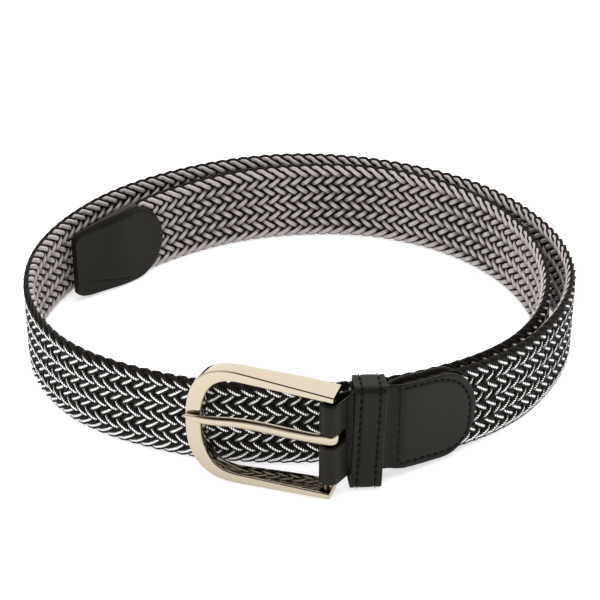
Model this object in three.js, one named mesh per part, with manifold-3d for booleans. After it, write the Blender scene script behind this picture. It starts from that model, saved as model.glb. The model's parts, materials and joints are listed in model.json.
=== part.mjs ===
import * as THREE from "three";
import Module from "manifold-3d";

// Elastic stretch belt, unfastened and standing on its lower edge in a coil of about one turn and a half.
// Millimetres, +Z up. The buckle end is at the front (-Y) and the leather tip is inside, at the back left.

// Braided elastic strap
const strapWidth = 35;
const strapThickness = 3.6;
const sewnThickness = 3; // pressed thinner where it is sewn between leathers
const tuckedWidth = 30.4; // drawn narrower inside the tip
const strapEdge = 1.25; // rounding of the braid's edges

// Leathers
const clearance = 0.33;
const leafThickness = 1.4;
const leatherEdge = 0.35;
const chapeHeight = 37.4; // over the strap
const foldHeight = 34.6; // round the bar
const pinchGap = 0.4; // between the two leaves next to the bar
const patchRound = 15; // length of the patch's rounded end
const patchPower = 2;
const tipLeaf = 1.9; // the tip's leathers are thicker
const tipHeight = 34.6;
const tipNarrowHeight = 31.5;
const tipFold = 2; // rounding of its upper edge, where the leather is turned over
const tipDrop = 1; // its narrow end hangs lower
const tipEndHeight = 24;
const tipEndThickness = 3.6;
const keeperWidth = 11.8;
const keeperHeight = 44.2;
const keeperDepth = 11.6;
const keeperWall = 1.5;
const keeperCorner = 2.4;
const keeperTurn = -12; // degrees from the chape's own line
const keeperLean = 2; // degrees, its top towards the strap

// Buckle frame, cast with its bar, and the prong
const frameLength = 53.6; // bar to the outside of the bow
const cheekEnd = 2; // from the bar to the cut ends
const halfHeightAtBar = 22.4;
const halfHeightAtBow = 24.5;
const bowStart = 34; // from the bar to where the bow begins
const bowPower = 2.5;
const bowFace = 6;
const shoulderFace = 4.2;
const cheekFace = 2.5;
const frontSetOff = 5; // bar to the front face
const bowDepth = 6;
const cheekDepth = 9.8;
const frameEdge = 0.7; // bevel of its edges
const barRadius = 1.6;
const tunnelRadius = 2.6; // inside the fold, loose on the bar
const frameTurn = 18.5; // degrees, the bow turned back from the picture's plane
const frameTilt = 1.6; // degrees, the bow raised
const prongWidth = 4.2;
const prongShift = 2; // above the frame's middle
const prongRing = 1.5; // wall of its loop
const prongLength = 53.6;
const slotHeight = prongWidth + 1.2;
const slotReach = 6.2; // from the bar to the slot's end, past the swinging shank

// The coil's plan: turn in degrees, distance from the middle as a share of coilRadius, lift of the lower edge
// as a share of the strap's width. The turn runs from the bar through right, back, left and front, and on
// inside the first turn.
const coilRadius = 100;
const coil = [
  // turn, radius share, lift share
  [277.6, 1.0745, 0.175],
  [281.6, 1.026, 0.172],
  [285.8, 1.0235, 0.16],
  [291.2, 1.013, 0.132],
  [301.1, 1.0005, 0.083],
  [309.4, 1.0065, 0.045],
  [318, 1.0265, 0.014],
  [330, 1.0615, 0],
  [360, 1.119, 0],
  [390, 1.064, 0],
  [420, 0.971, 0],
  [450, 0.929, 0],
  [480, 0.924, 0],
  [510, 0.981, 0],
  [540, 1.046, 0],
  [570, 1.03, 0],
  [600, 0.92, 0],
  [630, 0.867, 0],
  [660, 0.912, 0],
  [690, 1.008, 0],
  [720, 1.016, 0],
  [750, 0.978, 0],
  [780, 0.904, 0],
  [810, 0.8245, 0],
  [840, 0.798, 0],
  [858, 0.813, 0],
  [870, 0.842, 0],
  [878, 0.895, 0],
  [885, 0.963, 0],
];
const barTurn = coil[0][0];
const pinchTurn = coil[1][0];
const keeperAt = 285.6;
const strapStart = 294;
const foldFrom = 282.5; // the fold round the bar ends here
const openFrom = 290; // the leaves part between these turns to take the strap
const openTo = 293.2;
const patchEnd = 311.5;
const tipPatchEnd = 855.5;
const tuckStart = 861; // the strap draws narrower between these, inside the tip
const tuckEnd = 865;
const strapStop = 870;
const tipTaper = 866; // from here the tip narrows and thins to its end
const tipEnd = 883.4;
const tipNose = 4; // the tip's end rounds over this much of the turn
const swellStart = 0.5; // past a patch's end the strap thickens between these
const swellEnd = 4;
const stationStep = 2.5; // degrees
const leafStep = 1.7;
const tipStep = 1.2;
const tuckStep = 2;
const cornerSteps = 5; // of a quarter turn in the keeper

const wasm = await Module();
wasm.setup();
const rad = THREE.MathUtils.degToRad;
const smooth = THREE.MathUtils.smoothstep;
const lerp = THREE.MathUtils.lerp;

// A column of the coil's table at any turn, by a cubic through its rows.
function column(index, turn) {
  let i = coil.findIndex((row) => row[0] > turn) - 1;
  if (i === -2) i = coil.length - 2;
  if (i < 0) i = 0;
  const slope = (k) => {
    const a = coil[Math.max(k - 1, 0)];
    const b = coil[Math.min(k + 1, coil.length - 1)];
    return (b[index] - a[index]) / (b[0] - a[0]);
  };
  const [lo, hi] = [coil[i], coil[i + 1]];
  const span = hi[0] - lo[0];
  const t = (turn - lo[0]) / span;
  return (
    lo[index] * (2 * t ** 3 - 3 * t ** 2 + 1) +
    slope(i) * span * (t ** 3 - 2 * t ** 2 + t) +
    hi[index] * (3 * t ** 2 - 2 * t ** 3) +
    slope(i + 1) * span * (t ** 3 - t ** 2)
  );
}
const coilPoint = (turn) =>
  new THREE.Vector2(Math.cos(rad(turn)), Math.sin(rad(turn))).multiplyScalar(coilRadius * column(1, turn));
const middleHeight = (turn) => strapWidth / 2 + strapWidth * Math.max(column(2, turn), 0);
function outward(turn) {
  const along = coilPoint(turn + 0.1).sub(coilPoint(turn - 0.1)).normalize();
  return new THREE.Vector2(along.y, -along.x);
}

// A closed body through stations: each is a plan point, the side its face looks to, a half thickness, a middle
// height, a half height and the rounding of its edges, with another for the upper ones where they differ.
function sweep(stations) {
  const rings = stations.map(({ at, side, half, middle, reach, edge, upper = edge }) => {
    const [c, u] = [edge, upper].map((size) => Math.min(size, half * 0.8, reach * 0.8));
    return [
      [half, c - reach], [half, reach - u], [half - u, reach], [u - half, reach],
      [-half, reach - u], [-half, c - reach], [c - half, -reach], [half - c, -reach],
    ].map(([n, z]) => [at.x + side.x * n, at.y + side.y * n, middle + z]);
  });
  return loft(rings);
}

// Rings of equally many points joined into one closed body, faces out.
function loft(rings) {
  const m = rings[0].length;
  const index = [];
  for (let k = 0; k + 1 < rings.length; k++)
    for (let j = 0; j < m; j++) {
      const [a, b] = [k * m + j, k * m + ((j + 1) % m)];
      index.push(a, b, b + m, a, b + m, a + m);
    }
  const last = (rings.length - 1) * m;
  for (let j = 1; j + 1 < m; j++) index.push(0, j + 1, j, last, last + j, last + j + 1);
  const points = rings.flat();
  let volume = 0;
  for (let i = 0; i < index.length; i += 3) {
    const [a, b, c] = [0, 1, 2].map((k) => new THREE.Vector3(...points[index[i + k]]));
    volume += a.dot(b.cross(c));
  }
  if (volume < 0) for (let i = 0; i < index.length; i += 3) [index[i], index[i + 1]] = [index[i + 1], index[i]];
  const geometry = new THREE.BufferGeometry();
  geometry.setAttribute("position", new THREE.Float32BufferAttribute(points.flat(), 3));
  return geometry.setIndex(index);
}

// Closed bodies from geometries, welded by position.
function solid(geometry) {
  const position = (geometry.index ? geometry.toNonIndexed() : geometry).getAttribute("position");
  const seen = new Map();
  const vertProperties = [];
  const triVerts = [];
  for (let i = 0; i < position.count; i++) {
    const p = [position.getX(i), position.getY(i), position.getZ(i)];
    const key = p.map((v) => Math.round(v * 1e4)).join();
    if (!seen.has(key)) {
      seen.set(key, vertProperties.length / 3);
      vertProperties.push(...p);
    }
    triVerts.push(seen.get(key));
  }
  return new wasm.Manifold(
    new wasm.Mesh({
      numProp: 3,
      vertProperties: new Float32Array(vertProperties),
      triVerts: new Uint32Array(triVerts),
    }),
  );
}
function geometryOf(body) {
  const { vertProperties, triVerts } = body.getMesh();
  const geometry = new THREE.BufferGeometry();
  geometry.setAttribute("position", new THREE.Float32BufferAttribute(vertProperties, 3));
  return geometry.setIndex(Array.from(triVerts));
}

// Strap: one band from inside the chape to inside the tip
const turnsBetween = (from, to, step = stationStep) => {
  const count = Math.ceil((to - from) / step);
  return Array.from({ length: count + 1 }, (_, i) => from + ((to - from) * i) / count);
};
function strapHalf(turn) {
  const past = smooth(turn, patchEnd + swellStart, patchEnd + swellEnd);
  const free = past * (1 - smooth(turn, tipPatchEnd - swellEnd, tipPatchEnd - swellStart));
  return lerp(sewnThickness, strapThickness, free) / 2;
}
const strapReach = (turn) => lerp(strapWidth, tuckedWidth, smooth(turn, tuckStart, tuckEnd)) / 2;
const tuckTurns = turnsBetween(tuckStart, strapStop, tuckStep).slice(1);
const strap = sweep(
  [...turnsBetween(strapStart, tuckStart), ...tuckTurns].map((turn) => ({
    at: coilPoint(turn),
    side: outward(turn),
    half: strapHalf(turn),
    middle: middleHeight(turn),
    reach: strapReach(turn),
    edge: strapEdge,
  })),
);

// Chape: one leather folded round the bar, its two leaves sewn over the strap's end, each ending in a rounded patch
const leafOffset = sewnThickness / 2 + clearance + leafThickness / 2;
const bar = coilPoint(barTurn);
const pinchOffset = (pinchGap + leafThickness) / 2;
const roundStops = [0.997, 0.98, 0.94, 0.88, 0.8, 0.68, 0.54, 0.38, 0.2, 0];
const patchHalf = (share, full) => full * (1 - share ** patchPower) ** (1 / patchPower);
function leaf(face) {
  const roundTurn = THREE.MathUtils.radToDeg(patchRound / coilPoint(patchEnd).length());
  const rows = roundStops.map((share) => [patchEnd - roundTurn * (1 - share), patchHalf(share, chapeHeight / 2)]);
  for (const turn of turnsBetween(foldFrom, patchEnd - roundTurn, leafStep).reverse().slice(1))
    rows.push([turn, lerp(foldHeight, chapeHeight, smooth(turn, pinchTurn, strapStart)) / 2]);
  return rows.map(([turn, reach]) => {
    const offset = lerp(pinchOffset, leafOffset, smooth(turn, openFrom, openTo));
    const side = outward(turn).multiplyScalar(face);
    return {
      at: coilPoint(turn).addScaledVector(side, offset),
      side,
      half: leafThickness / 2,
      middle: middleHeight(turn),
      reach,
      edge: leatherEdge,
    };
  });
}
const frontLeaf = leaf(1);
const backLeaf = leaf(-1);
const foldRadius = tunnelRadius + leafThickness / 2;
const toPinch = frontLeaf.at(-1).at.clone().add(backLeaf.at(-1).at).multiplyScalar(0.5).sub(bar);
const reachToPinch = toPinch.length();
const wrap = Math.acos(foldRadius / Math.hypot(reachToPinch, pinchOffset)) + Math.atan2(pinchOffset, reachToPinch);
const foldSteps = 16;
const fold = Array.from({ length: foldSteps + 1 }, (_, i) => {
  const angle = toPinch.angle() - wrap - ((2 * Math.PI - 2 * wrap) * i) / foldSteps;
  const side = new THREE.Vector2(Math.cos(angle), Math.sin(angle));
  return {
    at: bar.clone().addScaledVector(side, foldRadius),
    side,
    half: leafThickness / 2,
    middle: middleHeight(barTurn),
    reach: foldHeight / 2,
    edge: leatherEdge,
  };
});
const chapeBlank = solid(sweep([...frontLeaf, ...fold, ...backLeaf.reverse()]));

// Buckle frame in its own frame: x from the bar to the bow, y out of its front face, z up along the bar
const outerHalf = (x) => lerp(halfHeightAtBar, halfHeightAtBow, (x + cheekEnd) / (bowStart + cheekEnd));
const bowReach = frameLength - bowStart;
function outline() {
  const rows = [];
  for (let i = 0; i < 6; i++) {
    const x = lerp(-cheekEnd, bowStart, i / 6);
    rows.push([x, outerHalf(x)]);
  }
  for (let i = 0; i <= 28; i++) {
    const a = Math.PI / 2 - (Math.PI * i) / 28;
    const power = (v) => Math.sign(v) * Math.abs(v) ** (2 / bowPower);
    rows.push([bowStart + bowReach * power(Math.cos(a)), halfHeightAtBow * power(Math.sin(a))]);
  }
  for (let i = 5; i >= 0; i--) rows.push([rows[i][0], -rows[i][1]]);
  return rows.map(([x, z]) => new THREE.Vector2(x, z));
}
const outer = outline();
const frameRings = outer.map((p, i) => {
  const along = outer[Math.min(i + 1, outer.length - 1)].clone().sub(outer[Math.max(i - 1, 0)]).normalize();
  const inward = new THREE.Vector2(along.y, -along.x);
  const legShare = THREE.MathUtils.clamp((p.x + cheekEnd) / (bowStart + cheekEnd), 0, 1);
  const bowShare = smooth(p.x, bowStart - 2, frameLength);
  const face = lerp(lerp(cheekFace, shoulderFace, legShare), bowFace, bowShare);
  const depth = lerp(cheekDepth, bowDepth, smooth(p.x, 0, bowStart + bowReach * 0.6));
  const [front, back] = [frontSetOff, frontSetOff - depth];
  const c = frameEdge;
  return [
    [0, back + c], [0, front - 2 * c], [0.3 * c, front - 0.7 * c],
    [c, front], [face - c, front], [face - 0.3 * c, front - 0.3 * c],
    [face, front - c], [face, back + c], [face - 0.3 * c, back + 0.3 * c],
    [face - c, back], [c, back], [0.3 * c, back + 0.3 * c],
  ].map(([n, y]) => [p.x + inward.x * n, y, p.y + inward.y * n]);
});
const barLength = 2 * halfHeightAtBar - cheekFace;
const barBody = new THREE.CylinderGeometry(barRadius, barRadius, barLength, 32).rotateX(Math.PI / 2);
const frameBody = geometryOf(solid(loft(frameRings)).add(solid(barBody)));

// Prong: a loop round the bar and a shank that runs over the bow
const loopOuter = barRadius + clearance + prongRing;
const loopShape = new THREE.Shape().absarc(0, 0, loopOuter, 0, 2 * Math.PI);
loopShape.holes.push(new THREE.Path().absarc(0, 0, barRadius + clearance, 0, 2 * Math.PI, true));
const loopBody = new THREE.ExtrudeGeometry(loopShape, { depth: prongWidth, bevelEnabled: false, curveSegments: 40 });
loopBody.translate(0, 0, prongShift - prongWidth / 2);
const shank = [
  // share of the length, middle of its depth, half width share, half depth
  [0.0, loopOuter - 0.75, 1, 0.7],
  [0.05, 2.65, 1, 0.95],
  [0.12, 2.65, 0.98, 1.1],
  [0.28, 2.6, 0.96, 1.15],
  [0.46, 2.65, 0.94, 1.15],
  [0.58, 3.0, 0.92, 1.15],
  [0.68, 3.85, 0.9, 1.1],
  [0.78, 5.3, 0.87, 1.05],
  [0.85, 6.2, 0.84, 1.0],
  [0.91, 6.45, 0.78, 0.9],
  [0.96, 6.35, 0.6, 0.75],
  [1.0, 6.1, 0.2, 0.5],
];
const shankRings = shank.map(([share, y, wide, deep]) => {
  const half = (prongWidth / 2) * wide;
  return Array.from({ length: 16 }, (_, j) => {
    const a = (2 * Math.PI * j) / 16;
    const power = (v, n) => Math.sign(v) * Math.abs(v) ** n;
    return [prongLength * share, y + deep * power(Math.cos(a), 0.8), prongShift + half * power(Math.sin(a), 0.8)];
  });
});
const prongBody = geometryOf(solid(loft(shankRings)).add(solid(loopBody)).subtract(
  solid(new THREE.CylinderGeometry(barRadius + clearance, barRadius + clearance, prongWidth * 2, 40)
    .rotateX(Math.PI / 2).translate(0, 0, prongShift)),
));

// Both turned to their place: the bow back and up, the lower cheek on the floor
const placed = new THREE.Matrix4()
  .makeRotationZ(Math.PI - rad(frameTurn))
  .multiply(new THREE.Matrix4().makeRotationY(-rad(frameTilt)));
frameBody.applyMatrix4(placed);
frameBody.computeBoundingBox();
const lower = -frameBody.boundingBox.min.z;
const barPlace = new THREE.Vector3(bar.x, bar.y, lower);
frameBody.translate(barPlace.x, barPlace.y, barPlace.z);
prongBody.applyMatrix4(placed);
prongBody.translate(barPlace.x, barPlace.y, barPlace.z);

// The chape's slot for the prong's loop
const slotCut = new THREE.CylinderGeometry(slotReach, slotReach, slotHeight, 48).rotateX(Math.PI / 2);
slotCut.translate(bar.x, bar.y, lower + prongShift);
const chape = geometryOf(chapeBlank.subtract(solid(slotCut)));

// Keeper: a closed leather loop that stands on the floor round the chape
const loopPath = (width, height, corner) => {
  const [w, h, r] = [width / 2, height / 2, corner];
  return [
    [w - r, r - h, -90], [w - r, h - r, 0], [r - w, h - r, 90], [r - w, r - h, 180],
  ].flatMap(([x, y, start]) =>
    Array.from({ length: cornerSteps + 1 }, (_, i) => {
      const a = rad(start + (90 * i) / cornerSteps);
      return new THREE.Vector2(x + r * Math.cos(a), y + r * Math.sin(a));
    }),
  );
};
const keeperShape = new THREE.Shape(loopPath(keeperDepth, keeperHeight, keeperCorner));
const hollow = [keeperDepth - 2 * keeperWall, keeperHeight - 2 * keeperWall, keeperCorner - keeperWall];
keeperShape.holes.push(new THREE.Path(loopPath(...hollow).reverse()));
const keeper = new THREE.ExtrudeGeometry(keeperShape, { depth: keeperWidth, bevelEnabled: false });
keeper.translate(0, 0, -keeperWidth / 2).rotateX(rad(-keeperLean));
const keeperSide = outward(keeperAt).rotateAround(new THREE.Vector2(), rad(keeperTurn));
keeper.applyMatrix4(
  new THREE.Matrix4().makeBasis(
    new THREE.Vector3(keeperSide.x, keeperSide.y, 0),
    new THREE.Vector3(0, 0, 1),
    new THREE.Vector3(keeperSide.y, -keeperSide.x, 0),
  ),
);
keeper.computeBoundingBox();
const keeperPlace = coilPoint(keeperAt);
keeper.translate(keeperPlace.x, keeperPlace.y, -keeper.boundingBox.min.z);

// Tip: a leather sleeve sewn over the strap's other end, open at its rounded patch end, with a narrowing free end
const tipHalf = sewnThickness / 2 + clearance + tipLeaf;
const tipRoundTurn = THREE.MathUtils.radToDeg(patchRound / coilPoint(tipPatchEnd).length());
const tipRows = roundStops.map((share) => [
  tipPatchEnd + tipRoundTurn * (1 - share),
  patchHalf(share, tipHeight / 2),
  tipHalf,
]);
for (const turn of turnsBetween(tipPatchEnd + tipRoundTurn, tipEnd, tipStep).slice(1)) {
  const narrow = smooth(turn, tipTaper - 1, tipEnd + 2);
  const nose = Math.sqrt(1 - Math.min(1, Math.max(0, (turn - tipEnd + tipNose) / (tipNose * 1.1))) ** 2);
  tipRows.push([
    turn,
    (lerp(tipHeight, tipNarrowHeight, narrow) / 2) * lerp(tipEndHeight / tipNarrowHeight, 1, nose),
    lerp(tipHalf, tipEndThickness / 2, smooth(turn, tipTaper + 1, tipEnd)),
    tipDrop * narrow,
  ]);
}
const tipBlank = sweep(
  tipRows.map(([turn, reach, half, drop = 0]) => ({
    at: coilPoint(turn),
    side: outward(turn),
    half,
    middle: strapWidth / 2 - drop,
    reach,
    edge: leatherEdge,
    upper: tipFold,
  })),
);
const slotEnd = strapStop + THREE.MathUtils.radToDeg(clearance / coilPoint(strapStop).length());
const tipSlot = sweep(
  [...turnsBetween(tipPatchEnd - 2, tuckStart, tipStep), ...tuckTurns, slotEnd].map((turn) => ({
    at: coilPoint(turn),
    side: outward(turn),
    half: sewnThickness / 2 + clearance,
    middle: strapWidth / 2,
    reach: strapReach(turn) + clearance,
    edge: 0,
  })),
);
const tip = geometryOf(solid(tipBlank).subtract(solid(tipSlot)));

// Finishes and the finished group
const elastic = new THREE.MeshStandardMaterial({ color: "#4b4845", roughness: 0.85, metalness: 0 });
const leather = new THREE.MeshStandardMaterial({ color: "#2c2a27", roughness: 0.5, metalness: 0 });
const nickel = new THREE.MeshStandardMaterial({ color: "#e3d6c2", roughness: 0.18, metalness: 1 });
const group = new THREE.Group();
for (const [name, geometry, material] of [
  ["strap", strap, elastic],
  ["chape", chape, leather],
  ["keeper", keeper, leather],
  ["tip", tip, leather],
  ["buckle_frame", frameBody, nickel],
  ["prong", prongBody, nickel],
]) {
  const mesh = new THREE.Mesh(geometry, material);
  mesh.name = name;
  group.add(mesh);
}
const box = new THREE.Box3().setFromObject(group);
group.position.set(-(box.min.x + box.max.x) / 2, -(box.min.y + box.max.y) / 2, -box.min.z);
export default group;
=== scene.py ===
import json
import math

import bmesh
import bpy
import numpy as np
from mathutils import Matrix, Vector
from mathutils.kdtree import KDTree


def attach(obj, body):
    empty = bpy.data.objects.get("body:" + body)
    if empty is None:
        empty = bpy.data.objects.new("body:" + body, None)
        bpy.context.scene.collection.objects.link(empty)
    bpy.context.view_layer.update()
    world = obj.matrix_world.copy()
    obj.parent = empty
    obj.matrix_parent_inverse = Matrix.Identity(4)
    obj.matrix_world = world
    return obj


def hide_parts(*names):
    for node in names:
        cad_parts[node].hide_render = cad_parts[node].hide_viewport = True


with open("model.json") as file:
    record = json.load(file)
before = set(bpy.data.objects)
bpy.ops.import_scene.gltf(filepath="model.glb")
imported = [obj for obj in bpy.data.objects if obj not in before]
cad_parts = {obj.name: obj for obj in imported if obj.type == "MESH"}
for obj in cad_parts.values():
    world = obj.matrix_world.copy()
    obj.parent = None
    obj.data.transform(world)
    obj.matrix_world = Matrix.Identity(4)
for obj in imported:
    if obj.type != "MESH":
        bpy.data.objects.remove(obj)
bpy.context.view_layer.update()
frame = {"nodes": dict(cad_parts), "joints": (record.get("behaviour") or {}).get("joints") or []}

# The strap is a flat braid of seventeen strands, each running over two and under two of the others, so that
# its faces show a herringbone. A strand is two black elastic cords, a fine white thread between them and a
# grey cord behind them: the outer face is black with white lines, the inner face light grey with dark gaps.
strand_count = 17
strand_pitch = 0.0049  # along the strap from one strand to the next
strand_phase = 0.59  # share of a pitch by which the first strand is shifted
braid_half = 0.0164  # from the strap's middle to the outermost line of a strand
tip_narrowing = 30.4 / 35  # the braid is drawn together inside the tip
narrow_from = 0.0129  # before the strap's end
narrow_to = 0.0072  # from here to the end it has its tucked width
turn_sharpness = 0.994  # 1 would turn the strands at the edges in a corner
crossing_height = 0.00098  # by which a strand stands out where it runs over others
crossing_flatness = 1.4  # above 1 it runs level in the middle of a float
strand_step = 0.00125  # along the strap from one point of a strand's path to the next
weave_repeat = 4  # crossings, two over and two under
edge_reach = 0.5  # crossings from an edge within which a strand turns
float_middle = 1.5  # crossings from an edge to the middle of the nearest float
first_float_end = 2.5
grey_from = 0.3  # share of a dive at which the grey starts to show on the inner face
grey_over = 0.4  # share of a dive over which it comes up
cord_outline = {  # half height and half width of the section, its place outward and to the left, its sides
    "upper_black_cord": (0.00066, 0.00066, 0.00032, 0.00094, 6),
    "lower_black_cord": (0.00062, 0.00051, 0.00032, -0.00113, 6),
    "white_thread": (0.00030, 0.00066, 0.00080, -0.00018, 5),
    "grey_cord": (0.00062, 0.00094, -0.00050, -0.00010, 7),
}
yarn_turn = 0.00085  # one turn of the twisted yarn
rib_relief = 0.35  # height of the yarn's ribs, as a share of its fibres'
tooth_shift = 1.05  # how far the thread's segments shift sideways, as a share of its half width
tooth_width = 0.49  # half width of the white itself, in the same share
grey_middle = 1.08  # thickness of the grey cord where it lies on the inner face, and where it dives
grey_dive = 0.72
turn_fade = 0.9  # crossings from an edge by which the grey has gone under, and the white at the upper edge
thread_delay = 0.55  # crossings by which the white comes up late on the rising strands
thread_gone = 3.2  # crossings into a float, of four, at which a rising strand's white is under again


def linear(colour):
    """An sRGB hex colour as linear RGBA."""
    parts = [int(colour[i:i + 2], 16) / 255 for i in (1, 3, 5)]
    return [c / 12.92 if c <= 0.04045 else ((c + 0.055) / 1.055) ** 2.4 for c in parts] + [1.0]


def add(tree, kind, inputs=None, **settings):
    """Adds a node with its settings, and sets or links its inputs."""
    made = tree.nodes.new(kind)
    for name, value in settings.items():
        setattr(made, name, value)
    for socket, value in (inputs or {}).items():
        if isinstance(value, bpy.types.NodeSocket):
            tree.links.new(value, made.inputs[socket])
        else:
            made.inputs[socket].default_value = value
    return made


def new_material(name):
    """An empty node material and its tree."""
    made = bpy.data.materials.new(name)
    made.use_nodes = True
    made.node_tree.nodes.clear()
    return made, made.node_tree


def finish_material(tree, shader):
    """Joins the shader to the material's output."""
    add(tree, "ShaderNodeOutputMaterial", {"Surface": shader.outputs["BSDF"]})


def covered_elastic(name, dark, light, gloss, sunk=None):
    """Rubber core in twisted yarn: dull, ribbed across, pale where fibres stand up, and, when a sunk colour is
    given, painted dark as shade where it dives under.
    """
    made, tree = new_material(name)
    along = add(tree, "ShaderNodeAttribute", attribute_name="along")
    section = add(tree, "ShaderNodeAttribute", attribute_name="section")
    parts = add(tree, "ShaderNodeSeparateXYZ", {0: section.outputs["Vector"]})
    round_angle = add(tree, "ShaderNodeMath", {0: parts.outputs["Y"], 1: parts.outputs["X"]},
                      operation="ARCTAN2")
    turns = add(tree, "ShaderNodeMath", {0: along.outputs["Fac"], 1: 2 * math.pi / (yarn_turn / 2)},
                operation="MULTIPLY")
    phase = add(tree, "ShaderNodeMath", {0: turns.outputs[0], 1: round_angle.outputs[0]}, operation="ADD")
    ribs = add(tree, "ShaderNodeMath", {0: phase.outputs[0]}, operation="SINE")
    place = add(tree, "ShaderNodeTexCoord")
    fuzz = add(tree, "ShaderNodeTexNoise", {
        "Vector": place.outputs["Object"], "Scale": 2600.0, "Detail": 3.0,
    })
    mixed = add(tree, "ShaderNodeMapRange", {
        "Value": fuzz.outputs["Fac"], "From Min": 0.35, "From Max": 0.75,
    })
    colour = add(tree, "ShaderNodeMix", {0: mixed.outputs[0], 6: linear(dark), 7: linear(light)},
                 data_type="RGBA")
    # painted shade: where the cord dives under the crossing strands, its colour goes to the given dark by the
    # share shown
    if sunk:
        shown = add(tree, "ShaderNodeAttribute", attribute_name="shown")
        colour = add(tree, "ShaderNodeMix", {0: shown.outputs["Fac"], 6: linear(sunk), 7: colour.outputs[2]},
                     data_type="RGBA")
    height = add(tree, "ShaderNodeMath", {0: ribs.outputs[0], 1: rib_relief, 2: fuzz.outputs["Fac"]},
                 operation="MULTIPLY_ADD")
    bump = add(tree, "ShaderNodeBump", {"Strength": 0.6, "Distance": 0.00012, "Height": height.outputs[0]})
    shader = add(tree, "ShaderNodeBsdfPrincipled", {
        "Base Color": colour.outputs[2], "Roughness": 0.8, "Specular IOR Level": gloss,
        "Normal": bump.outputs[0],
    })
    finish_material(tree, shader)
    return made


# Black covered elastic: near black and dull, with a brown cast; its yarn reflects little.
black_elastic = covered_elastic("black_covered_elastic", "#0c0a07", "#1f1b15", 0.22)
# Grey covered elastic: light grey with a lilac cast, seen on the inner face; where its ends dive under the
# crossing strands they are painted near black as shade.
grey_elastic = covered_elastic("grey_covered_elastic", "#9c9593", "#c4bbba", 0.2, "#1c180f")


def twisted_thread():
    """White polyester thread between the black cords: bright, its twist biting into both of its edges."""
    made, tree = new_material("white_twisted_thread")
    along = add(tree, "ShaderNodeAttribute", attribute_name="along")
    section = add(tree, "ShaderNodeAttribute", attribute_name="section")
    parts = add(tree, "ShaderNodeSeparateXYZ", {0: section.outputs["Vector"]})
    _, thread_half, _, thread_side, _ = cord_outline["white_thread"]
    centred = add(tree, "ShaderNodeMath", {0: parts.outputs["Y"], 1: thread_side}, operation="ADD")
    side = add(tree, "ShaderNodeMath", {0: centred.outputs[0], 1: thread_half}, operation="DIVIDE")
    turns = add(tree, "ShaderNodeMath", {0: along.outputs["Fac"], 1: yarn_turn}, operation="DIVIDE")
    tooth = add(tree, "ShaderNodeMath", {0: turns.outputs[0]}, operation="FRACT")
    shift = add(tree, "ShaderNodeMath", {0: tooth.outputs[0], 1: tooth_shift, 2: -tooth_shift / 2},
                operation="MULTIPLY_ADD")
    from_middle = add(tree, "ShaderNodeMath", {0: side.outputs[0], 1: shift.outputs[0]}, operation="SUBTRACT")
    off = add(tree, "ShaderNodeMath", {0: from_middle.outputs[0]}, operation="ABSOLUTE")
    shown = add(tree, "ShaderNodeAttribute", attribute_name="shown")
    band = add(tree, "ShaderNodeMath", {0: off.outputs[0], 1: tooth_width}, operation="LESS_THAN")
    white = add(tree, "ShaderNodeMath", {0: band.outputs[0], 1: shown.outputs["Fac"]}, operation="MULTIPLY")
    colour = add(tree, "ShaderNodeMix", {0: white.outputs[0], 6: linear("#14110f"), 7: linear("#ffffff")},
                 data_type="RGBA")
    bump = add(tree, "ShaderNodeBump", {"Strength": 0.5, "Distance": 0.0001, "Height": tooth.outputs[0]})
    shader = add(tree, "ShaderNodeBsdfPrincipled", {
        "Base Color": colour.outputs[2], "Roughness": 0.8, "Specular IOR Level": 0.25,
        "Normal": bump.outputs[0],
    })
    finish_material(tree, shader)
    return made


cord_finish = {
    "upper_black_cord": black_elastic,
    "lower_black_cord": black_elastic,
    "white_thread": twisted_thread(),
    "grey_cord": grey_elastic,
}


section_spread = 0.0016  # each vertex of a cross-section lies closer than this to another of it, in plan
section_gap = 0.0062  # the middles of neighbouring cross-sections lie closer than this


def strap_line():
    """Middles of the strap's cross-sections in order from the buckle end, read from its CAD node."""
    left = np.unique(np.round([v.co for v in frame["nodes"]["strap"].data.vertices], 6), axis=0)
    middles = []
    while len(left):
        ring = np.zeros(len(left), bool)
        ring[0] = True
        while True:
            gaps = np.linalg.norm(left[:, None, :2] - left[None, ring, :2], axis=2).min(axis=1)
            if (gaps < section_spread).sum() == ring.sum():
                break
            ring = gaps < section_spread
        middles.append((left[ring].min(axis=0) + left[ring].max(axis=0)) / 2)
        left = left[~ring]
    middles = np.array(middles)
    gaps = np.linalg.norm(middles[:, None] - middles[None], axis=2)
    ends = [i for i in range(len(middles)) if (gaps[i] < section_gap).sum() == 2]
    bar = np.array(frame["joints"][0]["pos_m"])
    order = [min(ends, key=lambda i: np.linalg.norm(middles[i] - bar))]
    while len(order) < len(middles):
        gaps[:, order[-1]] = np.inf
        order.append(int(gaps[order[-1]].argmin()))
    return middles[order]


line_parts = 12  # parts of a line between two of the points that it runs through


def smooth_line(points, step):
    """A Catmull-Rom line through points, at even steps, with its arc length and its plan tangent."""
    padded = np.vstack([2 * points[0] - points[1], points, 2 * points[-1] - points[-2]])
    t = np.linspace(0, 1, line_parts, endpoint=False)[:, None]
    fine = [
        0.5 * (2 * b + (c - a) * t + (2 * a - 5 * b + 4 * c - d) * t**2 + (3 * b - a - 3 * c + d) * t**3)
        for a, b, c, d in zip(padded, padded[1:], padded[2:], padded[3:])
    ]
    fine = np.vstack(fine + [points[-1:]])
    length = np.r_[0, np.cumsum(np.linalg.norm(np.diff(fine, axis=0), axis=1))]
    even = np.linspace(0, length[-1], int(length[-1] / step) + 1)
    line = np.stack([np.interp(even, length, fine[:, k]) for k in range(3)], axis=1)
    tangent = np.gradient(line[:, :2], axis=0)
    return even, line, tangent / np.linalg.norm(tangent, axis=1)[:, None]


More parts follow.
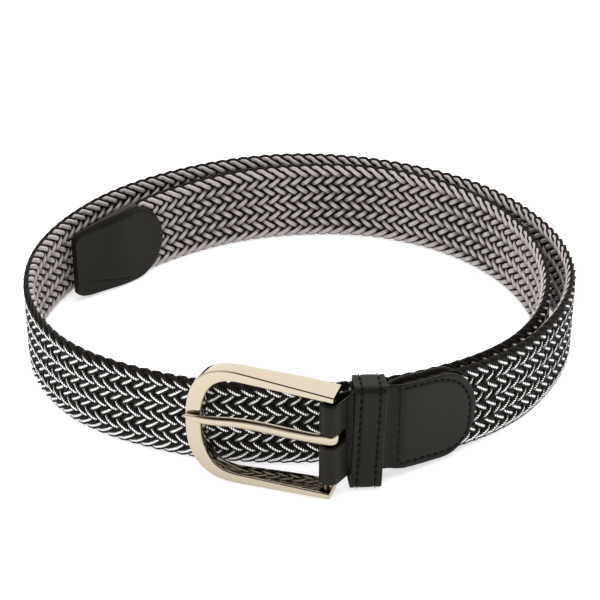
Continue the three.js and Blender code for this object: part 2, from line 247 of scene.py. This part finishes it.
strap_step = 0.0005
strap_length, strap_middle, strap_tangent = smooth_line(strap_line(), strap_step)
strap_outward = np.stack([strap_tangent[:, 1], -strap_tangent[:, 0], 0 * strap_tangent[:, 0]], axis=1)


def on_strap(along, out=0.0, up=0.0):
    """Points at an arc length along the strap, off its middle surface and above its middle line."""
    along = np.asarray(along, float)
    inside = np.clip(along, 0, strap_length[-1])
    middle = np.stack([np.interp(inside, strap_length, strap_middle[:, k]) for k in range(3)], axis=-1)
    normal = np.stack([np.interp(inside, strap_length, strap_outward[:, k]) for k in range(3)], axis=-1)
    ahead = np.stack([-normal[..., 1], normal[..., 0], 0 * normal[..., 0]], axis=-1)
    lift = np.stack([0 * along, 0 * along, np.broadcast_to(up, along.shape)], axis=-1)
    return middle + normal * np.asarray(out)[..., None] + ahead * (along - inside)[..., None] + lift


def strand_path(index):
    """One strand's zigzag from edge to edge, over two and under two, and where its grey and its white show."""
    along = np.arange(0, strap_length[-1], strand_step)
    unit = along / strand_pitch + index + strand_phase  # half a strand count to each traverse of the strap
    half = 2 * np.pi * unit / strand_count
    up = braid_half * np.arcsin(turn_sharpness * np.cos(half)) / math.asin(turn_sharpness)
    left_over = (strap_length[-1] - along - narrow_to) / (narrow_from - narrow_to)
    up *= tip_narrowing + (1 - tip_narrowing) * np.clip(left_over, 0, 1)
    crossing = (unit * 2) % strand_count
    at_edge = (crossing < edge_reach) | (crossing > strand_count - edge_reach)
    weave = np.where(at_edge, 0, np.cos(2 * np.pi / weave_repeat * (crossing - float_middle)))
    out = crossing_height * np.clip(weave * crossing_flatness, -1, 1)
    inside = np.clip((-weave - grey_from) / grey_over, 0, 1)
    inside = np.where(crossing > strand_count - float_middle, 1, np.maximum(inside, 1 - crossing / turn_fade))
    rising = unit % strand_count > strand_count / 2
    into_float = (crossing - edge_reach) % weave_repeat
    under = (into_float < thread_delay) | (into_float > thread_gone)
    late = rising & (crossing > first_float_end) & under
    at_top = (~rising & (crossing < turn_fade)) | (rising & (crossing > strand_count - turn_fade))
    return on_strap(along, out, up), inside, (~late & ~at_top).astype(float)


def cord_tree():
    """Geometry Nodes: one cord of the strand along its path."""
    tree = bpy.data.node_groups.new("strand_cord", "GeometryNodeTree")
    tree.interface.new_socket("Path", in_out="INPUT", socket_type="NodeSocketGeometry")
    for name in ("Half Height", "Half Width", "Outward", "Left"):
        tree.interface.new_socket(name, in_out="INPUT", socket_type="NodeSocketFloat")
    tree.interface.new_socket("Sides", in_out="INPUT", socket_type="NodeSocketInt")
    tree.interface.new_socket("Finish", in_out="INPUT", socket_type="NodeSocketMaterial")
    tree.interface.new_socket("Cord", in_out="OUTPUT", socket_type="NodeSocketGeometry")
    given = add(tree, "NodeGroupInput").outputs
    upright = add(tree, "GeometryNodeSetCurveNormal", {"Curve": given["Path"]}, mode="Z_UP")
    measure = add(tree, "GeometryNodeSplineParameter")
    marked = add(tree, "GeometryNodeStoreNamedAttribute", {
        "Geometry": upright.outputs[0], "Name": "along", "Value": measure.outputs["Length"],
    }, data_type="FLOAT", domain="POINT")
    circle = add(tree, "GeometryNodeCurvePrimitiveCircle", {"Resolution": given["Sides"], "Radius": 1.0})
    stretch = add(tree, "ShaderNodeCombineXYZ", {0: given["Half Height"], 1: given["Half Width"], 2: 1.0})
    left = add(tree, "ShaderNodeMath", {0: given["Left"], 1: -1.0}, operation="MULTIPLY")
    shift = add(tree, "ShaderNodeCombineXYZ", {0: given["Outward"], 1: left.outputs[0]})
    outline = add(tree, "GeometryNodeTransform", {
        "Geometry": circle.outputs[0], "Translation": shift.outputs[0], "Scale": stretch.outputs[0],
    })
    place = add(tree, "GeometryNodeInputPosition")
    section = add(tree, "GeometryNodeStoreNamedAttribute", {
        "Geometry": outline.outputs[0], "Name": "section", "Value": place.outputs[0],
    }, data_type="FLOAT_VECTOR", domain="POINT")
    cord = add(tree, "GeometryNodeCurveToMesh", {
        "Curve": marked.outputs[0], "Profile Curve": section.outputs[0], "Fill Caps": True,
    })
    smooth = add(tree, "GeometryNodeSetShadeSmooth", {0: cord.outputs[0]})
    real = add(tree, "GeometryNodeRealizeInstances", {0: smooth.outputs[0]})
    finished = add(tree, "GeometryNodeSetMaterial", {0: real.outputs[0], "Material": given["Finish"]})
    add(tree, "NodeGroupOutput", {0: finished.outputs[0]})
    return tree


def set_inputs(modifier, **values):
    """Sets a Geometry Nodes modifier's inputs by their sockets' identifiers."""
    for item in modifier.node_group.interface.items_tree:
        key = item.name.replace(" ", "_").lower()
        if item.in_out == "INPUT" and key in values:
            modifier[item.identifier] = values[key]


def plain_mesh(source, name):
    """The evaluated object as a plain mesh object; the source is removed."""
    bpy.context.view_layer.update()
    depsgraph = bpy.context.evaluated_depsgraph_get()
    mesh = bpy.data.meshes.new_from_object(source.evaluated_get(depsgraph), depsgraph=depsgraph)
    mesh.name = name
    bpy.data.objects.remove(source)
    piece = bpy.data.objects.new(name, mesh)
    bpy.context.scene.collection.objects.link(piece)
    return piece


def join(pieces, name):
    """Several mesh objects as one."""
    with bpy.context.temp_override(active_object=pieces[0], selected_editable_objects=pieces):
        bpy.ops.object.join()
    pieces[0].name = pieces[0].data.name = name
    return pieces[0]


def path_object(points, name, thickness=None):
    """A curve object through points, its thickness varying where one is given."""
    curve = bpy.data.curves.new(name, "CURVE")
    curve.dimensions = "3D"
    spline = curve.splines.new("POLY")
    spline.points.add(len(points) - 1)
    spline.points.foreach_set("co", np.c_[points, np.ones(len(points))].ravel())
    if thickness is not None:
        spline.points.foreach_set("radius", thickness)
    made = bpy.data.objects.new(name, curve)
    bpy.context.scene.collection.objects.link(made)
    return made


cord_nodes = cord_tree()
for index in range(strand_count):
    path, grey_shown, white_shown = strand_path(index)
    cords = []
    for cord_name, (half_height, half_width, outward, left, sides) in cord_outline.items():
        thickness = grey_dive + (grey_middle - grey_dive) * grey_shown if cord_name == "grey_cord" else None
        cord = path_object(path, cord_name, thickness)
        modifier = cord.modifiers.new("cord", "NODES")
        modifier.node_group = cord_nodes
        set_inputs(modifier, half_height=half_height, half_width=half_width, outward=outward, left=left,
                   sides=sides, finish=cord_finish[cord_name])
        cord = plain_mesh(cord, cord_name)
        # on the grey cord the share shown sets where it is painted in shade as it dives; on the white it hides
        # the thread under the black
        marks = cord.data.attributes.new("shown", "FLOAT", "POINT")
        shown = white_shown if cord_name == "white_thread" else grey_shown
        marks.data.foreach_set("value", np.repeat(shown, sides)[:len(cord.data.vertices)])
        cords.append(cord)
    strand = join(cords, f"strand_{index + 1:02d}")
    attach(strand, "belt")
    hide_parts("strap")


# Leathers: smooth black finished leather, cut, folded and sewn through the braid with black thread, its
# edges rounded and dyed. Each piece starts from its CAD solid, made into an even mesh whose edges round over
# and whose surface sinks along the seams, where painted shade darkens the grooves.
leather_voxel = 0.0004
weld_distance = 1e-6
relax_share = 0.5
relax_rounds = 6  # of smoothing, which turn the edges over
seam_step = 0.0003  # between points of a seam
seam_shade = 0.8  # how far painted shade darkens a seam's groove
patch_face = 0.00323  # from the strap's middle to the outside of the chape's leaves
patch_seam = [  # along the strap and above its middle line: a D inside the chape's round end
    (-0.0036, 0.0170), (0.0044, 0.0171), (0.0130, 0.0168), (0.0198, 0.0148), (0.0248, 0.0104), (0.0276, 0.0042),
    (0.0280, -0.0040), (0.0266, -0.0105), (0.0228, -0.0145), (0.0170, -0.0160), (0.0090, -0.0160),
    (-0.0036, -0.0158),
]
keeper_across = Vector((0.9942, 0.1029, -0.035)).normalized()  # the keeper's own directions in its place
keeper_outward = Vector((0.1029, -0.9947, 0))
keeper_upward = keeper_outward.cross(keeper_across)
keeper_seams = (-0.0033, 0.0034)  # from the middle of its width
keeper_corner = 0.0024
corner_steps = 6  # of a quarter turn
loop_step = 0.001
side_points = 100  # on the straight side of the chape's seam
crease_line = [  # low on the tip's face; sunk and painted in shade like the seams
    (-0.0891, 0.0375, 0.0080), (-0.0817, 0.0427, 0.0058), (-0.0733, 0.0488, 0.0034),
]
groove_depth = 0.0004
groove_half = 0.00055
crease_depth = 0.00035
stitch_spacing = 0.0031
stitch_half = 0.00112  # half its length
stitch_radius = 0.00027


def black_leather():
    """Finished cowhide: black with a brown cast, a fine pebble grain and a soft, slightly waxy gloss, painted
    darker along its seams and crease as shade.
    """
    made, tree = new_material("black_finished_leather")
    place = add(tree, "ShaderNodeTexCoord")
    grain = add(tree, "ShaderNodeTexVoronoi", {"Vector": place.outputs["Object"], "Scale": 1600.0})
    cloud = add(tree, "ShaderNodeTexNoise", {"Vector": place.outputs["Object"], "Scale": 90.0, "Detail": 4.0})
    colour = add(tree, "ShaderNodeMix", {0: cloud.outputs["Fac"], 6: linear("#0f0e09"), 7: linear("#16130d")},
                 data_type="RGBA")
    # painted shade in the sunk grooves of the seams and the tip's crease, down to near black
    seam = add(tree, "ShaderNodeAttribute", attribute_name="seam")
    groove_shade = add(tree, "ShaderNodeMix", {0: seam.outputs["Fac"], 6: colour.outputs[2], 7: linear("#050403")},
               data_type="RGBA")
    rough = add(tree, "ShaderNodeMapRange", {"Value": cloud.outputs["Fac"], "To Min": 0.38, "To Max": 0.52})
    fine = add(tree, "ShaderNodeBump", {
        "Strength": 0.25, "Distance": 0.00008, "Height": grain.outputs["Distance"],
    })
    soft = add(tree, "ShaderNodeBump", {
        "Strength": 0.2, "Distance": 0.0004, "Height": cloud.outputs["Fac"], "Normal": fine.outputs[0],
    })
    shader = add(tree, "ShaderNodeBsdfPrincipled", {
        "Base Color": groove_shade.outputs[2], "Roughness": rough.outputs[0], "Specular IOR Level": 0.14,
        "Normal": soft.outputs[0],
    })
    finish_material(tree, shader)
    return made


def sewing_thread():
    """Waxed black polyester: darker and a little glossier than the leather it holds."""
    made, tree = new_material("black_sewing_thread")
    shader = add(tree, "ShaderNodeBsdfPrincipled", {
        "Base Color": linear("#070605"), "Roughness": 0.5, "Specular IOR Level": 0.12,
    })
    finish_material(tree, shader)
    return made


leather = black_leather()
seam_thread = sewing_thread()


def leather_piece(name, node, lines, depth):
    """An even, softly edged mesh from a CAD leather, sunk along lines of points on its surface and marked there
    with the share of painted shade for its grooves.
    """
    piece = bpy.data.objects.new(name, frame["nodes"][node].data.copy())
    bpy.context.scene.collection.objects.link(piece)
    work = bmesh.new()
    work.from_mesh(piece.data)
    bmesh.ops.remove_doubles(work, verts=work.verts, dist=weld_distance)
    work.to_mesh(piece.data)
    work.free()
    even = piece.modifiers.new("even", "REMESH")
    even.mode = "VOXEL"
    even.voxel_size = leather_voxel
    even.use_smooth_shade = True
    relax = piece.modifiers.new("relax", "SMOOTH")
    relax.factor = relax_share
    relax.iterations = relax_rounds
    piece = plain_mesh(piece, name)
    piece.data.materials.clear()
    piece.data.materials.append(leather)
    points = np.vstack(lines)
    nearest = KDTree(len(points))
    for k, point in enumerate(points):
        nearest.insert(point, k)
    nearest.balance()
    away = np.array([nearest.find(vertex.co)[2] for vertex in piece.data.vertices])
    sunk = np.exp(-(away / groove_half) ** 2)
    places = np.array([vertex.co for vertex in piece.data.vertices])
    normals = np.array([vertex.normal for vertex in piece.data.vertices])
    piece.data.vertices.foreach_set("co", (places - normals * (depth * sunk)[:, None]).ravel())
    # painted shade in the grooves: the material darkens the leather by this mark
    marks = piece.data.attributes.new("seam", "FLOAT", "POINT")
    marks.data.foreach_set("value", seam_shade * sunk)
    piece.data.update()
    return piece


def stitch_tree():
    """Geometry Nodes: one row of stitches along a seam."""
    tree = bpy.data.node_groups.new("seam_stitches", "GeometryNodeTree")
    tree.interface.new_socket("Seam", in_out="INPUT", socket_type="NodeSocketGeometry")
    for name in ("Spacing", "Half Length", "Radius"):
        tree.interface.new_socket(name, in_out="INPUT", socket_type="NodeSocketFloat")
    tree.interface.new_socket("Thread", in_out="INPUT", socket_type="NodeSocketMaterial")
    tree.interface.new_socket("Stitches", in_out="OUTPUT", socket_type="NodeSocketGeometry")
    given = add(tree, "NodeGroupInput").outputs
    holes = add(tree, "GeometryNodeCurveToPoints", {"Curve": given["Seam"], "Length": given["Spacing"]},
                mode="LENGTH")
    ball = add(tree, "GeometryNodeMeshIcoSphere", {"Radius": 1.0, "Subdivisions": 2})
    size = add(tree, "ShaderNodeCombineXYZ", {
        0: given["Radius"], 1: given["Radius"], 2: given["Half Length"],
    })
    stitches = add(tree, "GeometryNodeInstanceOnPoints", {
        "Points": holes.outputs["Points"], "Instance": ball.outputs["Mesh"],
        "Rotation": holes.outputs["Rotation"], "Scale": size.outputs[0],
    })
    smooth = add(tree, "GeometryNodeSetShadeSmooth", {0: stitches.outputs[0]})
    real = add(tree, "GeometryNodeRealizeInstances", {0: smooth.outputs[0]})
    finished = add(tree, "GeometryNodeSetMaterial", {0: real.outputs[0], "Material": given["Thread"]})
    add(tree, "NodeGroupOutput", {0: finished.outputs[0]})
    return tree


stitch_nodes = stitch_tree()


def stitch_rows(lines, name):
    """The stitches of one or more seams as one piece."""
    rows = []
    for line in lines:
        row = path_object(line, name)
        modifier = row.modifiers.new("stitches", "NODES")
        modifier.node_group = stitch_nodes
        set_inputs(modifier, spacing=stitch_spacing, half_length=stitch_half, radius=stitch_radius,
                   thread=seam_thread)
        rows.append(plain_mesh(row, name))
    return join(rows, name)


def chape_seams():
    """The D on both leaves, with its straight side across the strap."""
    _, curve, _ = smooth_line(np.array([(along, up, 0) for along, up in patch_seam]), seam_step)
    side = np.linspace(curve[-1], curve[0], side_points)[1:]
    shape = np.vstack([curve, side])
    return [on_strap(shape[:, 0], np.full(len(shape), out), shape[:, 1]) for out in (patch_face, -patch_face)]


def densify(points, step):
    """Points no further apart than a step along straight pieces."""
    dense = []
    for start, end in zip(points, points[1:]):
        count = max(1, math.ceil((end - start).length / step))
        dense += [start.lerp(end, part / count) for part in range(count)]
    return dense + [points[-1]]


def keeper_loops():
    """Two seams round the keeper, each on its outer surface."""
    corners = np.array([vertex.co for vertex in frame["nodes"]["keeper"].data.vertices])
    low = [(corners @ np.array(axis)).min() for axis in (keeper_across, keeper_outward, keeper_upward)]
    high = [(corners @ np.array(axis)).max() for axis in (keeper_across, keeper_outward, keeper_upward)]
    middle = (np.array(low) + np.array(high)) / 2
    deep, tall = (high[1] - low[1]) / 2, (high[2] - low[2]) / 2
    loops = []
    for across in keeper_seams:
        loop = []
        for quarter, (side, top) in enumerate(((1, 1), (-1, 1), (-1, -1), (1, -1))):
            for part in range(corner_steps + 1):
                angle = math.radians(90 * quarter + 90 / corner_steps * part)
                out = side * (deep - keeper_corner) + keeper_corner * math.cos(angle)
                up = top * (tall - keeper_corner) + keeper_corner * math.sin(angle)
                loop.append(keeper_across * (middle[0] + across) + keeper_outward * (middle[1] + out)
                            + keeper_upward * (middle[2] + up))
        _, line, _ = smooth_line(np.array(densify(loop + loop[:1], loop_step)), seam_step)
        loops.append(line)
    return loops


_, crease, _ = smooth_line(np.array(crease_line), seam_step)
seams = {"chape": chape_seams(), "keeper": keeper_loops(), "tip": [crease]}
for name, lines in seams.items():
    piece = leather_piece(f"{name}_leather", name, lines, crease_depth if name == "tip" else groove_depth)
    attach(piece, "belt")
    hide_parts(name)
for name in ("chape", "keeper"):
    piece = stitch_rows(seams[name], f"{name}_stitches")
    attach(piece, "belt")


# Buckle frame and prong: cast zinc, polished and nickel plated. The frame is a long U with a flat front,
# widest at the bow, whose ends a round bar joins inside the chape's fold. The prong is one rod curled round
# that bar.
frame_turn = math.radians(18.5)  # the bow turned back from the picture's plane
frame_tilt = math.radians(1.6)  # the bow raised
frame_length = 0.0536  # bar to the outside of the bow
cheek_end = 0.002  # from the bar to the cut ends
half_height_at_bar = 0.0224
half_height_at_bow = 0.0245
bow_start = 0.034
bow_power = 2.5
bow_lead = 0.002  # the front face starts to widen this far before the bow
bow_points = 200  # on half the bow's line
frame_step = 0.0008  # between the frame's sections
bow_face = 0.006
shoulder_face = 0.0042
cheek_face = 0.0025
front_set_off = 0.005  # bar to the front face
bow_depth = 0.006
cheek_depth = 0.0098
depth_reach = 0.6  # share of the bow's length by which the frame has the bow's depth
front_edge = 0.0007  # rounding of the front face's edges
back_edge = 0.0009
edge_steps = 4  # of a rounded edge's quarter turn
bar_radius = 0.0016
bar_sides = 24
prong_length = 0.0536
prong_width = 0.0042
prong_shift = 0.002  # above the frame's middle
prong_line = 0.00268  # middle of the rod where it curls round the bar
prong_sections = 90  # along the shank
prong_blend = 5  # sections averaged, so that the shank has no corners
prong_sides = 20
curl_start = 96  # degrees round the bar
curl_end = 385
curl_step = 6
prong_shape = [  # share of its length, middle of its depth, half width as a share, half depth
    (0.0, 0.00268, 1.0, 0.00075),
    (0.05, 0.00268, 1.0, 0.0009),
    (0.12, 0.0028, 1.0, 0.00125),
    (0.28, 0.00295, 1.03, 0.00145),
    (0.46, 0.00295, 1.03, 0.00145),
    (0.58, 0.0033, 1.01, 0.00145),
    (0.68, 0.0041, 0.98, 0.00135),
    (0.78, 0.0055, 0.93, 0.0012),
    (0.85, 0.0062, 0.84, 0.001),
    (0.91, 0.00645, 0.78, 0.0009),
    (0.96, 0.00635, 0.6, 0.00075),
    (1.0, 0.0061, 0.2, 0.0005),
]
bar_place = Vector(frame["joints"][0]["pos_m"])
# The frame's own directions: x from the bar to the bow, y out of the front, z up the bar.
own_axes = (Matrix.Translation(bar_place) @ Matrix.Rotation(math.pi - frame_turn, 4, "Z")
            @ Matrix.Rotation(-frame_tilt, 4, "Y"))
sharp_angle = math.radians(50)  # edges sharper than this aren't shaded smooth


def polished_nickel():
    """Nickel plate on polished cast zinc: a pale champagne mirror, faintly clouded by handling."""
    made, tree = new_material("polished_pale_nickel")
    place = add(tree, "ShaderNodeTexCoord")
    wear = add(tree, "ShaderNodeTexNoise", {"Vector": place.outputs["Object"], "Scale": 140.0, "Detail": 3.0})
    rough = add(tree, "ShaderNodeMapRange", {"Value": wear.outputs["Fac"], "To Min": 0.06, "To Max": 0.14})
    polish = add(tree, "ShaderNodeTexNoise", {
        "Vector": place.outputs["Object"], "Scale": 55.0, "Detail": 1.0,
    })
    waves = add(tree, "ShaderNodeBump", {
        "Strength": 0.3, "Distance": 0.0004, "Height": polish.outputs["Fac"],
    })
    shader = add(tree, "ShaderNodeBsdfPrincipled", {
        "Base Color": linear("#b3a896"), "Metallic": 1.0, "Roughness": rough.outputs[0],
        "Normal": waves.outputs[0],
    })
    finish_material(tree, shader)
    return made


def smooth_step(value, start, end):
    """0 before the start, 1 past the end, and smooth between."""
    share = np.clip((value - start) / (end - start), 0, 1)
    return share * share * (3 - 2 * share)


def loft_mesh(rings, name):
    """A closed body through rings of equally many points, smooth but for its ends."""
    count, sides = len(rings), len(rings[0])
    points = [own_axes @ Vector(point) for ring in rings for point in ring]
    faces = [tuple(range(sides)), tuple(range((count - 1) * sides, count * sides))[::-1]]
    for k in range(count - 1):
        for j in range(sides):
            low, high = k * sides + j, k * sides + (j + 1) % sides
            faces.append((low, low + sides, high + sides, high))
    mesh = bpy.data.meshes.new(name)
    mesh.from_pydata(points, [], faces)
    work = bmesh.new()
    work.from_mesh(mesh)
    bmesh.ops.recalc_face_normals(work, faces=work.faces)
    work.to_mesh(mesh)
    work.free()
    mesh.shade_smooth()
    mesh.set_sharp_from_angle(angle=sharp_angle)
    mesh.materials.append(nickel)
    made = bpy.data.objects.new(name, mesh)
    bpy.context.scene.collection.objects.link(made)
    return made


def frame_outline():
    """The U's outer line in the frame's own x and z, from the upper cut end round the bow to the lower one."""
    turn = np.linspace(math.pi / 2, 0, bow_points)
    bow_x = bow_start + (frame_length - bow_start) * np.cos(turn).clip(0) ** (2 / bow_power)
    bow_z = half_height_at_bow * np.sin(turn) ** (2 / bow_power)
    x = np.r_[-cheek_end, bow_x]
    z = np.r_[half_height_at_bar, bow_z]
    x, z = np.r_[x, x[-2::-1]], np.r_[z, -z[-2::-1]]
    length = np.r_[0, np.cumsum(np.hypot(np.diff(x), np.diff(z)))]
    even = np.linspace(0, length[-1], round(length[-1] / frame_step))
    return np.interp(even, length, x), np.interp(even, length, z)


def rounded_section(face, front, back):
    """Corner arcs of the frame's section: in from the outer wall, and out of the front."""
    corners = [(face, front, front_edge, 0), (0, front, front_edge, 90), (0, back, back_edge, 180),
               (face, back, back_edge, 270)]
    points = []
    for inward, height, radius, start in corners:
        centre_in = inward + (radius if inward == 0 else -radius)
        centre_out = height + (-radius if height == front else radius)
        for part in range(edge_steps + 1):
            angle = math.radians(start + 90 / edge_steps * part)
            points.append((centre_in + radius * math.cos(angle), centre_out + radius * math.sin(angle)))
    return points


def buckle_frame():
    """Sections along the U from cut end to cut end, and the bar between its legs."""
    x, z = frame_outline()
    ahead = np.stack([np.gradient(x), np.gradient(z)], axis=1)
    ahead /= np.linalg.norm(ahead, axis=1)[:, None]
    leg = np.clip((x + cheek_end) / (bow_start + cheek_end), 0, 1)
    bow = smooth_step(x, bow_start - bow_lead, frame_length)
    face = cheek_face + (shoulder_face - cheek_face) * leg
    face += (bow_face - face) * bow
    deep = smooth_step(x, 0, bow_start + (frame_length - bow_start) * depth_reach)
    depth = cheek_depth + (bow_depth - cheek_depth) * deep
    rings = []
    for k in range(len(x)):
        section = rounded_section(face[k], front_set_off, front_set_off - depth[k])
        rings.append([(x[k] + ahead[k, 1] * n, y, z[k] - ahead[k, 0] * n) for n, y in section])
    reach = half_height_at_bar - cheek_face / 2
    turns = [math.radians(360 / bar_sides * j) for j in range(bar_sides)]
    circle = [(bar_radius * math.cos(a), bar_radius * math.sin(a)) for a in turns]
    bar = [[(x, y, end) for x, y in circle] for end in (-reach, reach)]
    return join([loft_mesh(rings, "u_frame"), loft_mesh(bar, "bar")], "polished_frame")


def prong():
    """Sections along the rod, from its tip to the bar, round it and back under the shank."""
    share, middle, wide, deep = (np.array(row) for row in zip(*prong_shape))
    fine = np.linspace(1, 0, prong_sections)
    columns = {"share": share, "middle": middle, "wide": wide, "deep": deep}
    table = {key: np.interp(fine, share, values) for key, values in columns.items()}
    kept = prong_blend // 2
    for key in ("middle", "wide", "deep"):
        blended = np.convolve(table[key], np.ones(prong_blend) / prong_blend, "valid")
        table[key][kept:-kept] = blended
    line = [(prong_length * s, m) for s, m in zip(table["share"], table["middle"])]
    curl = np.radians(np.arange(curl_start, curl_end, curl_step))
    line += [(prong_line * math.cos(a), prong_line * math.sin(a)) for a in curl]
    line = np.array(line)
    half = np.r_[table["wide"], np.ones(len(curl))] * prong_width / 2
    deep = np.r_[table["deep"], np.full(len(curl), prong_shape[0][3])]
    ahead = np.gradient(line, axis=0)
    ahead /= np.linalg.norm(ahead, axis=1)[:, None]
    rings = []
    for k, (x, y) in enumerate(line):
        ring = []
        for j in range(prong_sides):
            a = 2 * math.pi * j / prong_sides
            out = deep[k] * math.cos(a)
            across = half[k] * math.sin(a)
            ring.append((x + ahead[k, 1] * out, y - ahead[k, 0] * out, prong_shift + across))
        rings.append(ring)
    return loft_mesh(rings, "polished_prong")


nickel = polished_nickel()
for piece, node, body in ((buckle_frame(), "buckle_frame", "buckle"), (prong(), "prong", "tongue")):
    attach(piece, body)
    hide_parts(node)


# The setting: a pale floor, soft light from above and in front, a white tent that the metal mirrors, and the
# camera at the photograph's angle.
camera_distance = 0.8
camera_elevation = math.radians(31.85)
camera_target = Vector((-0.0001, 0.0356, 0.0))
image_size = 600
lit_from_below = 0.6  # the floor is a lit table, so that the object leaves hardly a shadow
floor_height = -0.0004  # the lowest lobes of the strands press this far down
focal_pixels = 1890.4
sensor = 36.0


def stage_plane(name, half, colour):
    """A level square of the setting, matt and a little lit from below."""
    mesh = bpy.data.meshes.new(name)
    corners = [(-half, -half, 0), (half, -half, 0), (half, half, 0), (-half, half, 0)]
    mesh.from_pydata(corners, [], [(0, 1, 2, 3)])
    made, tree = new_material(name)
    shader = add(tree, "ShaderNodeBsdfPrincipled", {
        "Base Color": linear(colour), "Roughness": 0.9, "Emission Color": linear("#ffffff"),
        "Emission Strength": lit_from_below,
    })
    finish_material(tree, shader)
    mesh.materials.append(made)
    plane = bpy.data.objects.new(name, mesh)
    bpy.context.scene.collection.objects.link(plane)
    return plane


floor = stage_plane("white_floor", half=6.0, colour="#d3d2d1")
floor.location.z = floor_height


def area_light(name, place, aim, size, power):
    """A soft rectangular light that the metal doesn't mirror."""
    data = bpy.data.lights.new(name, "AREA")
    data.shape = "RECTANGLE"
    data.size, data.size_y = size
    data.energy = power
    light = bpy.data.objects.new(name, data)
    light.location = place
    light.visible_glossy = False
    light.rotation_euler = (Vector(aim) - Vector(place)).to_track_quat("-Z", "Y").to_euler()
    bpy.context.scene.collection.objects.link(light)


area_light("overhead_softbox", place=(0.1, 0.1, 1.3), aim=(0, 0, 0), size=(1.6, 1.4), power=20)
area_light("front_softbox", place=(-0.5, -1.2, 0.8), aim=(0, 0, 0), size=(1.0, 0.8), power=10)

dark_side = Vector((0.1, -0.6, 0.79)).normalized()  # the unlit ceiling above the camera, seen in the metal
back_wall = Vector((0, 0.85, 0.53)).normalized()  # the brightest wall, behind the object


def studio_air():
    """A white tent round the object, brightest behind it, with an unlit opening above the camera."""
    made = bpy.data.worlds.new("studio_air")
    made.use_nodes = True
    tree = made.node_tree
    tree.nodes.clear()
    way = add(tree, "ShaderNodeTexCoord")
    near = add(tree, "ShaderNodeVectorMath", {0: way.outputs["Generated"], 1: dark_side},
               operation="DOT_PRODUCT")
    share = add(tree, "ShaderNodeMapRange", {
        "Value": near.outputs["Value"], "From Min": 0.64, "From Max": 0.82,
    })
    behind = add(tree, "ShaderNodeVectorMath", {0: way.outputs["Generated"], 1: back_wall},
                 operation="DOT_PRODUCT")
    strong = add(tree, "ShaderNodeMapRange", {
        "Value": behind.outputs["Value"], "From Min": 0.3, "From Max": 0.9, "To Min": 0.95, "To Max": 1.75,
    })
    colour = add(tree, "ShaderNodeMix", {0: share.outputs[0], 6: linear("#ffffff"), 7: linear("#453c37")},
                 data_type="RGBA")
    air = add(tree, "ShaderNodeBackground", {"Color": colour.outputs[2], "Strength": strong.outputs[0]})
    add(tree, "ShaderNodeOutputWorld", {"Surface": air.outputs[0]})
    return made


bpy.context.scene.world = studio_air()

camera_data = bpy.data.cameras.new("camera")
camera_data.sensor_width = sensor
camera_data.lens = focal_pixels / image_size * sensor
camera = bpy.data.objects.new("camera", camera_data)
back = Vector((0, -math.cos(camera_elevation), math.sin(camera_elevation)))
camera.location = camera_target + back * camera_distance
camera.rotation_euler = (-back).to_track_quat("-Z", "Y").to_euler()
bpy.context.scene.collection.objects.link(camera)
bpy.context.scene.camera = camera
bpy.context.scene.view_settings.view_transform = "Standard"
